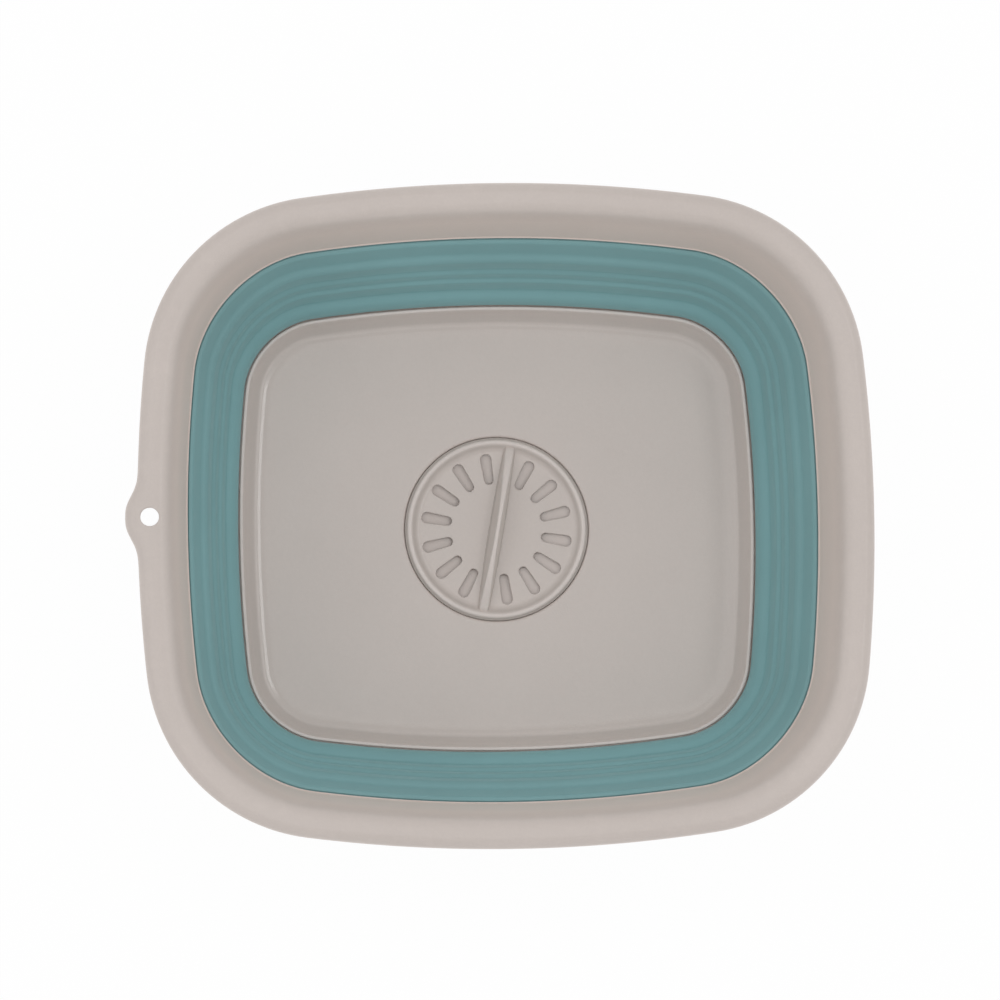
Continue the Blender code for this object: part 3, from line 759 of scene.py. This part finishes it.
# The plug's profile runs from its middle out over the dish, round the bead, down the side, in below the
# disc and down the stem to its foot. A block of cells is left out of it for each slot.
slot_radii = np.linspace(SLOT_BLOCK_INNER, SLOT_BLOCK_OUTER, SLOT_ROWS + 1)
plug_radii = np.concatenate([HUB_RADII, slot_radii, EDGE_RADII])
plug_upper = np.column_stack([plug_radii, dish_height(plug_radii)])
bead_angle = np.linspace(BEAD_TURN, 0, BEAD_STEPS + 1)[:, None]
bead_round = np.concatenate([np.cos(bead_angle), np.sin(bead_angle)], axis=1)
bead = np.array([BEAD_RADIUS, BEAD_HEIGHT]) + np.array([BEAD_HALF_WIDTH, BEAD_RISE]) * bead_round
plug_side = rounded_line(
    [(47.95, 11.9), (48.8, 11.2), (48.8, DISC_BOTTOM), (45.0, DISC_BOTTOM)], (0.3, 0.5), PLUG_STEPS
)
plug_under_radii = np.concatenate([UNDER_EDGE_RADII, slot_radii[::-1], UNDER_HUB_RADII])
plug_under = np.column_stack([plug_under_radii, np.full(len(plug_under_radii), DISC_BOTTOM)])
plug_stem = rounded_line(
    [
        (10.5, DISC_BOTTOM),
        (8.5, DISC_BOTTOM),
        (8.5, 4.0),
        (11.0, 4.0),
        (11.0, STEM_BOTTOM),
        (2.0, STEM_BOTTOM),
    ],
    (0.6, 0.2, 0.35, 0.4),
    PLUG_STEPS,
)
plug_line = np.concatenate([MM * plug_upper, MM * bead, plug_side, MM * plug_under, plug_stem])
plug_turn = PLUG_START + np.arange(PLUG_COLUMNS) * 2 * math.pi / PLUG_COLUMNS
plug_rings = turned(plug_line, plug_turn)
plug_ids = numbered(plug_rings)
plug_cells = strip(plug_ids)
plug_keeps = np.ones(plug_cells.shape[:2], bool)
first_slot_row = len(HUB_RADII)
first_under_row = len(plug_upper) + len(bead) + len(plug_side) + len(UNDER_EDGE_RADII)
last_under_row = first_under_row + SLOT_ROWS
side_starts = SLOT_FIRST_COLUMN + SLOT_PITCH_COLUMNS * np.arange(SLOTS_A_SIDE)
slot_walls = []
plug_faces = []
plug_points_made = plug_ids.size
for start in np.concatenate([side_starts, PLUG_COLUMNS // 2 + side_starts]):
    block = slice(start, start + SLOT_COLUMNS)
    plug_keeps[first_slot_row : first_slot_row + SLOT_ROWS, block] = False
    plug_keeps[first_under_row:last_under_row, block] = False
    rows, columns = block_edge(0, SLOT_ROWS, start, start + SLOT_COLUMNS)
    plan = plug_rings[first_slot_row + rows, columns, :2]
    wall = slot_wall(plan, plug_turn[start + SLOT_COLUMNS // 2])
    wall_ids = numbered(wall, plug_points_made)
    plug_points_made += wall_ids.size
    edge_above = plug_ids[first_slot_row + rows, columns]
    edge_below = plug_ids[last_under_row - rows, columns]
    slot_walls.append(wall.reshape(-1, 3))
    plug_faces.append(strip(np.concatenate([edge_above[None], wall_ids, edge_below[None]])).reshape(-1, 4))


def capped(ids, first_pole):
    """Triangles that close the first and the last ring of a tube on to two poles, numbered in a row."""
    pole = np.full(ids.shape[1], first_pole)
    start = np.stack([pole, ids[0], np.roll(ids[0], -1)], axis=-1)
    end = np.stack([ids[-1], pole + 1, np.roll(ids[-1], -1)], axis=-1)
    return np.concatenate([start, end])


def turned_with_grip(points):
    """Points of the plug turned about the upright axis, to where its grip bar stands."""
    cosine, sine = math.cos(GRIP_TURN), math.sin(GRIP_TURN)
    return points @ np.array([[cosine, -sine, 0], [sine, cosine, 0], [0, 0, 1]]).T


plug_poles = MM * np.array([[0, 0, DISH], [0, 0, STEM_BOTTOM]])
# Painted highlight: the plug is painted paler above 12 to 13 mm, on the crown of its bead and on the upper
# part of the grip bar.
plug_plastic = satin_plastic(
    "plug_polypropylene",
    colour=(0.548, 0.482, 0.446),
    far_colour=(0.645, 0.572, 0.536),
    roughness=0.33,
    grain=0.25,
    gloss=0.5,
    near_height=0.012,
    far_height=0.013,
)
plug = make_piece(
    "strainer_disc",
    turned_with_grip(np.concatenate([plug_rings.reshape(-1, 3), *slot_walls, plug_poles])),
    [np.concatenate([plug_cells[plug_keeps], *plug_faces]), capped(plug_ids, plug_points_made)],
    crease_deg=40,
    material=plug_plastic,
)
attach(plug, "plug")
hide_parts("strainer_plug")

# Grip bar: a half-moon fin moulded on the plug, right across the disc. Its flanks lean in towards a
# narrow rounded crest in the middle, and its foot runs out into the disc with a small fillet.
GRIP_HALF_LENGTH = 0.0452
GRIP_ARCH_HALF_LENGTH = 0.0444
GRIP_HEIGHT = 0.011
GRIP_END_HEIGHT = 0.0018
GRIP_LEAST_HEIGHT = 0.0016
GRIP_ROUNDING = 0.0009
GRIP_ROUND_SHARE = 0.45
GRIP_END_HALF_FOOT = 0.0027
GRIP_FOOT_SWELL = 0.001
GRIP_CREST_HALF_THICKNESS = 0.0011
GRIP_SUNK = 0.0004
GRIP_FILLET = 0.0004
GRIP_SKEW = 0.0004
GRIP_STEPS = 80
GRIP_ARC_STEPS = 6
FLANK_SHARES = (0.0, 0.04, 0.08, 0.14, 0.22, 0.35, 0.5, 0.7, 0.9)

# Its height falls with the square of the way from the middle. Each flank leans in evenly as it rises
# from a fillet that fades by powers of e, and meets the crest, set a little aside, in a quarter circle.
grip_along = GRIP_HALF_LENGTH * np.sin(np.linspace(-math.pi / 2, math.pi / 2, GRIP_STEPS + 1))[:, None]
grip_arch = 1 - (grip_along / GRIP_ARCH_HALF_LENGTH) ** 2
grip_height = np.maximum(GRIP_END_HEIGHT + (GRIP_HEIGHT - GRIP_END_HEIGHT) * grip_arch, GRIP_LEAST_HEIGHT)
grip_round = np.minimum(GRIP_ROUNDING, GRIP_ROUND_SHARE * grip_height)
flank_height = (grip_height - grip_round + GRIP_SUNK) * np.array([FLANK_SHARES]) - GRIP_SUNK
arc = np.linspace(0, math.pi / 2, GRIP_ARC_STEPS)[None, :]
side_height = np.concatenate([flank_height, grip_height - grip_round * (1 - np.sin(arc))], axis=1)
clear_height = np.maximum(side_height, 0)
grip_foot = GRIP_END_HALF_FOOT + GRIP_FOOT_SWELL * (1 - (grip_along / GRIP_HALF_LENGTH) ** 2)
lean = grip_foot - (grip_foot - GRIP_CREST_HALF_THICKNESS) * clear_height / GRIP_HEIGHT
flare = GRIP_FILLET * np.exp(-clear_height / GRIP_FILLET)
cut = np.concatenate([np.zeros_like(flank_height), grip_round * (1 - np.cos(arc))], axis=1)
half = lean + flare - cut
skew = GRIP_SKEW * clear_height / GRIP_HEIGHT
grip_x = np.concatenate([skew + half, (skew - half)[:, ::-1]], axis=1)
grip_z = MM * DISH + np.concatenate([side_height, side_height[:, ::-1]], axis=1)
grip_rings = np.stack([grip_x, np.broadcast_to(grip_along, grip_x.shape), grip_z], axis=-1)
grip_ids = numbered(grip_rings)
grip_ends = grip_rings[[0, -1]].mean(axis=1)
# The plug's plastic paints the grip bar paler above 13 mm, a painted highlight on its upper part.
grip = make_piece(
    "grip_bar",
    turned_with_grip(np.concatenate([grip_rings.reshape(-1, 3), grip_ends])),
    [strip(grip_ids), capped(grip_ids, grip_ids.size)],
    crease_deg=50,
    material=plug_plastic,
)
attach(grip, "plug")
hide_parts("strainer_plug")

# Seal ring: a ring of grey silicone with two lips, stretched over the plug's stem above its flange.
# It closes the outlet when the plug is pushed home, and lifts out with it.
SEAL_TOP, SEAL_BOTTOM = 7.3, 4.3
SEAL_COLUMNS = 96
seal_line = rounded_line(
    [
        (8.8, SEAL_TOP),
        (12.6, SEAL_TOP),
        (13.7, SEAL_TOP - 0.75),
        (13.05, SEAL_TOP - 1.5),
        (13.7, SEAL_BOTTOM + 0.75),
        (12.6, SEAL_BOTTOM),
        (8.8, SEAL_BOTTOM),
    ],
    (0.4, 0.3, 0.4, 0.3, 0.4),
    BEND_STEPS,
)
seal_rings = turned(seal_line, np.arange(SEAL_COLUMNS) * 2 * math.pi / SEAL_COLUMNS)
seal_rubber = elastomer("grey_silicone", colour=(0.32, 0.33, 0.33), painted_light_top=0.0, painted_light_bottom=-0.01)
seal_faces = [closed_strip(numbered(seal_rings))]
seal = make_piece("seal_ring", seal_rings, seal_faces, crease_deg=50, material=seal_rubber)
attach(seal, "seal")
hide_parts("plug_seal")

# Studio: a plain white floor that keeps a faint shadow, and a surround that is brighter towards the
# horizon. Both are plain white to the camera and in reflections. A large lamp hangs overhead, a little
# left of the middle, with a long narrow one on the right and a weak low one on the left.
FLOOR_HALF = 4.0
WHITE_SHARE = 0.97
LOW_SKY = 1.1
HIGH_SKY = 0.7
HIGH_SKY_FROM = 0.7
LAMP_TARGET = Vector((0, 0, 0.05))
floor_mesh = bpy.data.meshes.new("studio_floor")
floor_signs = ((-1, -1), (1, -1), (1, 1), (-1, 1))
floor_mesh.from_pydata([(FLOOR_HALF * x, FLOOR_HALF * y, 0) for x, y in floor_signs], [], [(0, 1, 2, 3)])
floor = bpy.data.objects.new("studio_floor", floor_mesh)
bpy.context.scene.collection.objects.link(floor)


def seen_directly(tree):
    """1 for rays from the camera, glossy reflections and refractions, and 0 for the rest."""
    path = tree.nodes.new("ShaderNodeLightPath")
    either = path.outputs["Is Camera Ray"]
    for other in ("Is Glossy Ray", "Is Transmission Ray"):
        either = combined(tree, "MAXIMUM", either, path.outputs[other])
    return either


paper, paper_tree, paper_shader = node_material("white_paper")
floor_mesh.materials.append(paper)
set_inputs(paper_shader, Base_Color=(0.9, 0.9, 0.9, 1), Roughness=0.9, Specular_IOR_Level=0.1)
white = paper_tree.nodes.new("ShaderNodeEmission")
set_inputs(white, Strength=1.0)
paper_mix = paper_tree.nodes.new("ShaderNodeMixShader")
white_share = combined(paper_tree, "MULTIPLY", seen_directly(paper_tree), WHITE_SHARE)
paper_tree.links.new(white_share, paper_mix.inputs["Fac"])
paper_tree.links.new(paper_shader.outputs["BSDF"], paper_mix.inputs[1])
paper_tree.links.new(white.outputs["Emission"], paper_mix.inputs[2])
paper_tree.links.new(paper_mix.outputs["Shader"], paper_tree.nodes["Material Output"].inputs["Surface"])

world = bpy.data.worlds.new("studio_surround")
world.use_nodes = True
bpy.context.scene.world = world
sky = world.node_tree
surround = sky.nodes["Background"]
set_inputs(surround, Color=(1, 1, 1, 1))
direction = sky.nodes.new("ShaderNodeSeparateXYZ")
sky.links.new(sky.nodes.new("ShaderNodeTexCoord").outputs["Generated"], direction.inputs["Vector"])
lowness = sky.nodes.new("ShaderNodeMapRange")
lowness.interpolation_type = "SMOOTHSTEP"
set_inputs(lowness, From_Min=0.0, From_Max=HIGH_SKY_FROM, To_Min=LOW_SKY, To_Max=HIGH_SKY)
sky.links.new(direction.outputs["Z"], lowness.inputs["Value"])
brightness = sky.nodes.new("ShaderNodeMapRange")
set_inputs(brightness, To_Max=1.0)
sky.links.new(lowness.outputs["Result"], brightness.inputs["To Min"])
sky.links.new(seen_directly(sky), brightness.inputs["Value"])
sky.links.new(brightness.outputs["Result"], surround.inputs["Strength"])


def soft_lamp(name, place, width, height, watts):
    """A rectangular area lamp at a place, turned to a point inside the basin."""
    lamp = bpy.data.lights.new(name, "AREA")
    lamp.shape = "RECTANGLE"
    lamp.size = width
    lamp.size_y = height
    lamp.energy = watts
    holder = bpy.data.objects.new(name, lamp)
    bpy.context.scene.collection.objects.link(holder)
    aim = LAMP_TARGET - Vector(place)
    holder.matrix_world = Matrix.Translation(place) @ aim.to_track_quat("-Z", "Y").to_matrix().to_4x4()


soft_lamp("overhead_lamp", (-0.4, 0.1, 2.4), width=1.6, height=1.6, watts=6.6)
soft_lamp("right_lamp", (1.0, 0.1, 1.7), width=1.2, height=0.13, watts=3.1)
soft_lamp("left_lamp", (-1.3, 0.0, 1.3), width=1.2, height=0.5, watts=1.5)

# Camera: looks almost straight down from 2.2 metres above the rim. It stands left of the basin's
# middle and in front of it, and is tilted back on to it, as in the photograph.
CAMERA_PLACE = (BASIN_X - 0.1228, -0.1645, 2.3)
CAMERA_TURNS_DEG = ((-3.1226, "Y"), (4.4899, "X"), (-0.817, "Z"))
SENSOR_WIDTH = 36
LENS_OVER_SENSOR = 4.315
camera_data = bpy.data.cameras.new("camera")
camera_data.sensor_width = SENSOR_WIDTH
camera_data.lens = LENS_OVER_SENSOR * SENSOR_WIDTH
camera_data.clip_end = 20
camera = bpy.data.objects.new("camera", camera_data)
bpy.context.scene.collection.objects.link(camera)
camera_matrix = Matrix.Translation(CAMERA_PLACE)
for degrees, axis in CAMERA_TURNS_DEG:
    camera_matrix = camera_matrix @ Matrix.Rotation(math.radians(degrees), 4, axis)
camera.matrix_world = camera_matrix
bpy.context.scene.camera = camera
bpy.context.scene.view_settings.view_transform = "Standard"
